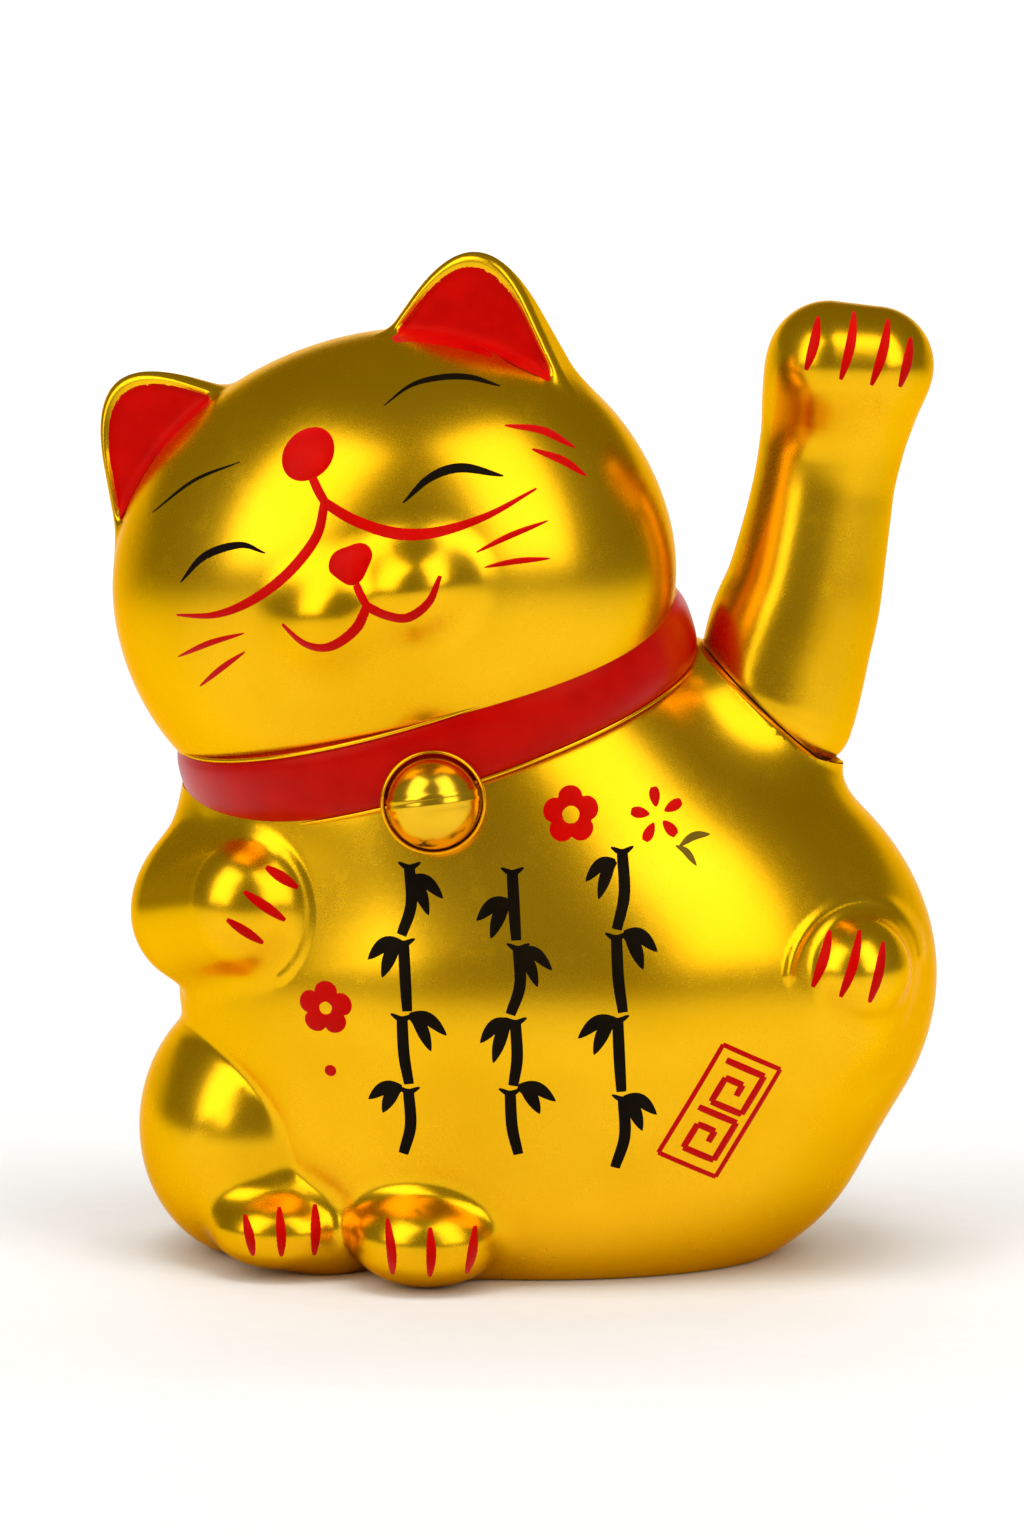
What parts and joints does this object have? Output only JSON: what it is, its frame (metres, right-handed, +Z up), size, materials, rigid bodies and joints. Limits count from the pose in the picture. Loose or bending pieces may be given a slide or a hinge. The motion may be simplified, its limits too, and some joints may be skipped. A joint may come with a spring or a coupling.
{
  "type": "beckoning cat figurine",
  "caption": "Seated gold beckoning cat with a red collar, a round bell and a raised arm that waves on an inclined shaft driven by a pendulum.",
  "frame": {"origin": "centre of the bounding box's underside, on the resting plane", "axes": "+Z up, the cat faces -Y, +X towards the waving arm"},
  "size_m": [0.23, 0.1636, 0.2767],
  "materials": {
    "gold_shell": "satin vacuum-metallised gold on ABS",
    "gold_bell": "polished metallised gold",
    "collar_red": "gloss red lacquer",
    "grey_plastic": "moulded grey ABS",
    "black_plastic": "moulded black",
    "rubber": "soft black rubber",
    "white_nylon": "natural nylon",
    "magnet": "nickel-plated magnet",
    "copper_wire": "enamelled copper wire",
    "board_green": "solder mask on glass-epoxy",
    "cell_wrap": "printed film over a steel can",
    "lead_red": "red wire insulation",
    "steel": "plated steel"
  },
  "bodies": {
    "root": {"body_front_shell": "gold_shell", "body_rear_shell": "gold_shell", "head_front_shell": "gold_shell", "head_rear_shell": "gold_shell", "collar": "collar_red", "bell_seat": "gold_shell", "bell": "gold_bell", "shoulder_bush": "white_nylon", "inner_bush": "white_nylon", "pivot_bracket": "grey_plastic", "bracket_screw_1": "steel", "bracket_screw_2": "steel", "base_plate": "grey_plastic", "foot_pad_1": "rubber", "foot_pad_2": "rubber", "foot_pad_3": "rubber", "foot_pad_4": "rubber", "base_screw_1": "steel", "base_screw_2": "steel", "base_screw_3": "steel", "base_screw_4": "steel", "battery_box": "black_plastic", "battery_cell_1": "cell_wrap", "battery_cell_2": "cell_wrap", "plate_contact_1": "steel", "plate_contact_2": "steel", "spring_contact_1": "steel", "spring_contact_2": "steel", "circuit_board": "board_green", "coil_bobbin": "white_nylon", "coil_winding": "copper_wire", "driver_chip": "black_plastic", "capacitor": "black_plastic", "switch_body": "black_plastic", "lead_battery_plus": "lead_red", "lead_battery_minus": "black_plastic", "lead_switch": "lead_red"},
    "waving_arm": {"arm_front_shell": "gold_shell", "arm_rear_shell": "gold_shell", "arm_hub": "grey_plastic", "arm_shaft": "steel", "shaft_clip": "steel", "pendulum_lever": "grey_plastic", "pendulum_weight": "steel", "pendulum_magnet": "magnet"},
    "battery_door": {"battery_cover": "grey_plastic"},
    "power_switch": {"switch_knob": "white_nylon"}
  },
  "joints": [
    {"name": "arm_wave", "type": "hinge", "parent": "root", "child": "waving_arm", "pos_m": [0.0689, 0.003, 0.1525], "axis": [0.69, -0.05, 0.722], "range_deg": [-18, 18]},
    {"name": "battery_cover_hinge", "type": "hinge", "parent": "root", "child": "battery_door", "pos_m": [-0.0465, 0, 0.002], "axis": [0, 1, 0], "range_deg": [0, 75]},
    {"name": "switch_slide", "type": "slide", "parent": "root", "child": "power_switch", "axis": [1, 0, 0], "range_m": [0, 0.003]}
  ]
}
